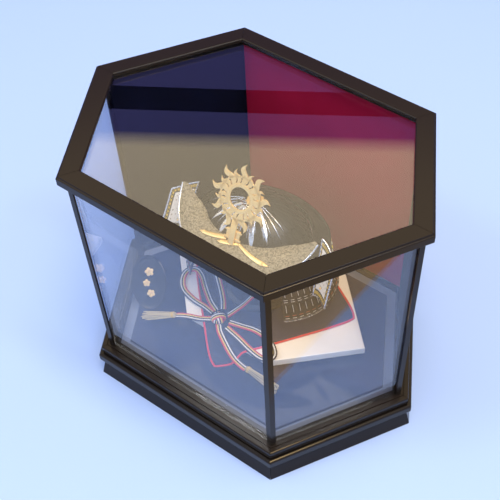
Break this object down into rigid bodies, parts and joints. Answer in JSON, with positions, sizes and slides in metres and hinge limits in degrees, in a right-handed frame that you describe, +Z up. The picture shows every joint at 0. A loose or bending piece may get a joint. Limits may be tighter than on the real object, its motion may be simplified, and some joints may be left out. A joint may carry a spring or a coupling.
{
  "type": "hexagonal glazed display case",
  "caption": "Six-sided tabletop display case: lift-off glazed wooden hood over a plinth, holding a miniature helmet on a stand, a cloth, a knotted cord and an oval plaque.",
  "frame": {"origin": "centre of the footprint, on the surface that the case stands on", "axes": "+X to the right along the front glass, +Y to the back panel, +Z up"},
  "size_m": [0.4012, 0.287, 0.3],
  "materials": {
    "black_lacquer": "glossy lacquer",
    "clear_glass": "clear polished",
    "navy_flock": "matt flocked board",
    "red_flock": "matt flocked board",
    "cream_board": "satin paint",
    "navy_floor": "glossy sheet over board",
    "dark_wood": "matt stain",
    "navy_cloth": "plain weave with red piping",
    "black_stand": "satin stain",
    "black_iron": "satin lacquered metal",
    "grey_brocade": "woven brocade",
    "printed_leather": "printed, satin",
    "laced_plates": "lacquered plates",
    "gilt_brass": "gilt",
    "silver_plate": "silvered",
    "striped_cord": "flat braid",
    "straw_fringe": "loose fringe"
  },
  "bodies": {
    "base": {"plinth_front": "black_lacquer", "plinth_right_front": "black_lacquer", "plinth_right_back": "black_lacquer", "plinth_back": "black_lacquer", "plinth_left_back": "black_lacquer", "plinth_left_front": "black_lacquer", "base_board": "black_lacquer", "floor_panel": "navy_floor", "display_board": "cream_board", "board_riser": "dark_wood", "cloth": "navy_cloth", "stand_foot": "black_stand", "stand_post": "black_stand", "plaque": "black_lacquer", "plaque_prop": "black_stand", "cord_knot": "striped_cord", "cord_loop_left": "striped_cord", "cord_loop_right": "striped_cord", "cord_tail_left": "striped_cord", "cord_tail_right": "striped_cord", "cord_strand_right": "striped_cord", "cord_strand_left": "striped_cord", "tassel_left": "straw_fringe", "tassel_right": "straw_fringe"},
    "hood": {"bottom_rail_front": "black_lacquer", "bottom_rail_right_front": "black_lacquer", "bottom_rail_right_back": "black_lacquer", "bottom_rail_back": "black_lacquer", "bottom_rail_left_back": "black_lacquer", "bottom_rail_left_front": "black_lacquer", "top_rail_front": "black_lacquer", "top_rail_right_front": "black_lacquer", "top_rail_right_back": "black_lacquer", "top_rail_back": "black_lacquer", "top_rail_left_back": "black_lacquer", "top_rail_left_front": "black_lacquer", "glass_front": "clear_glass", "glass_right_front": "clear_glass", "glass_left_front": "clear_glass", "panel_right_back": "navy_flock", "panel_back": "red_flock", "panel_left_back": "navy_flock", "post_front_left": "black_lacquer", "post_front_right": "black_lacquer", "post_right": "black_lacquer", "post_back_right": "black_lacquer", "post_back_left": "black_lacquer", "post_left": "black_lacquer", "top_glass": "clear_glass"},
    "helmet": {"helmet_bowl": "black_iron", "brim": "grey_brocade", "side_plate_right": "printed_leather", "side_plate_left": "printed_leather", "neck_tier_1": "laced_plates", "neck_tier_2": "laced_plates", "neck_tier_3": "laced_plates", "neck_tier_4": "laced_plates", "crown_ornament": "silver_plate", "crest_holder": "gilt_brass"},
    "crest": {"crest": "gilt_brass"}
  },
  "joints": [
    {"name": "hood_lift", "type": "slide", "parent": "base", "child": "hood", "axis": [0, 0, 1], "range_m": [0, 0.3]},
    {"name": "helmet_lift", "type": "slide", "parent": "base", "child": "helmet", "axis": [0, 0, 1], "range_m": [0, 0.018]},
    {"name": "crest_pull", "type": "slide", "parent": "helmet", "child": "crest", "axis": [-0.0258, 0.4218, 0.9063], "range_m": [0, 0.016]}
  ]
}
